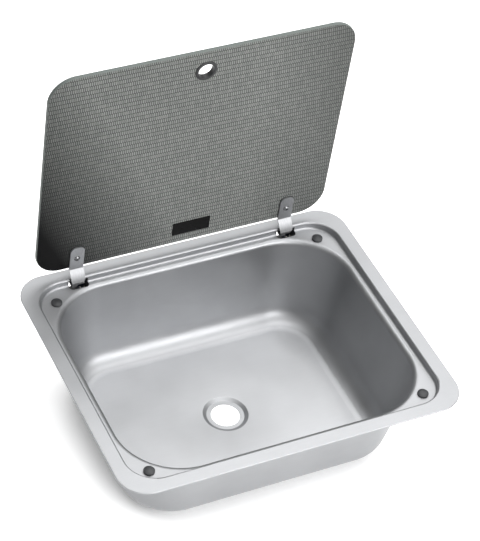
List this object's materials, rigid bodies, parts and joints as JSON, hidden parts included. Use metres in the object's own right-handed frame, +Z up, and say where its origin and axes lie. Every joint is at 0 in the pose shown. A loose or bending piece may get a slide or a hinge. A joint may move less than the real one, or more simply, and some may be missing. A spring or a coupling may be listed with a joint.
{
  "type": "caravan sink with glass lid",
  "caption": "Drop-in rectangular stainless sink bowl with rounded corners, a central drain hole and a recessed rim, and a printed glass lid that folds up on two gooseneck hinges.",
  "frame": {"origin": "centre of the drain hole, on the top face of the ring that a waste fitting seats on", "axes": "+Z up out of the drain, +Y towards the hinges at the back, +X to the right seen from the front"},
  "size_m": [0.42, 0.35, 0.4421],
  "materials": {
    "pressed_steel": "satin, fine brushed",
    "seal_foam": "closed-cell foam",
    "buffer_rubber": "moulded, slightly glossy",
    "plated_steel": "zinc plated",
    "printed_glass": "clear with a fine dark print on one face",
    "black_plastic": "moulded, matt",
    "label_plastic": "smooth, satin",
    "bracket_steel": "pressed, black dip coat",
    "pin_steel": "ground",
    "spring_steel": "rolled and blued",
    "white_plastic": "natural nylon",
    "rivet_steel": "bright",
    "hinge_steel": "satin, tumbled",
    "screw_steel": "bright stainless",
    "cap_chrome": "polished"
  },
  "bodies": {
    "sink": {"sink_bowl": "pressed_steel", "rim_seal": "seal_foam", "buffer_front_left": "buffer_rubber", "buffer_front_right": "buffer_rubber", "buffer_back_left": "buffer_rubber", "buffer_back_right": "buffer_rubber", "weld_studs": "plated_steel", "bracket_nuts": "plated_steel", "hinge_bracket_left": "bracket_steel", "hinge_pin_left": "pin_steel", "pin_ring_left": "spring_steel", "hinge_washers_left": "black_plastic", "brake_spring_left": "spring_steel", "brake_rivets_left": "rivet_steel", "hinge_bracket_right": "bracket_steel", "hinge_pin_right": "pin_steel", "pin_ring_right": "spring_steel", "hinge_washers_right": "black_plastic", "brake_spring_right": "spring_steel", "brake_rivets_right": "rivet_steel"},
    "lid": {"glass_lid": "printed_glass", "finger_grommet": "black_plastic", "label_plate": "label_plastic", "hinge_arm_left": "hinge_steel", "hinge_arm_right": "hinge_steel", "tab_pad_left": "black_plastic", "tab_pad_right": "black_plastic", "tab_bush_left": "white_plastic", "tab_bush_right": "white_plastic", "tab_screw_left": "screw_steel", "tab_screw_right": "screw_steel", "cap_washer_left": "white_plastic", "cap_washer_right": "white_plastic", "cap_nut_left": "cap_chrome", "cap_nut_right": "cap_chrome"}
  },
  "joints": [
    {"name": "lid_hinge", "type": "hinge", "parent": "sink", "child": "lid", "pos_m": [0, 0.159, 0.1255], "axis": [1, 0, 0], "range_deg": [0, 87]}
  ]
}
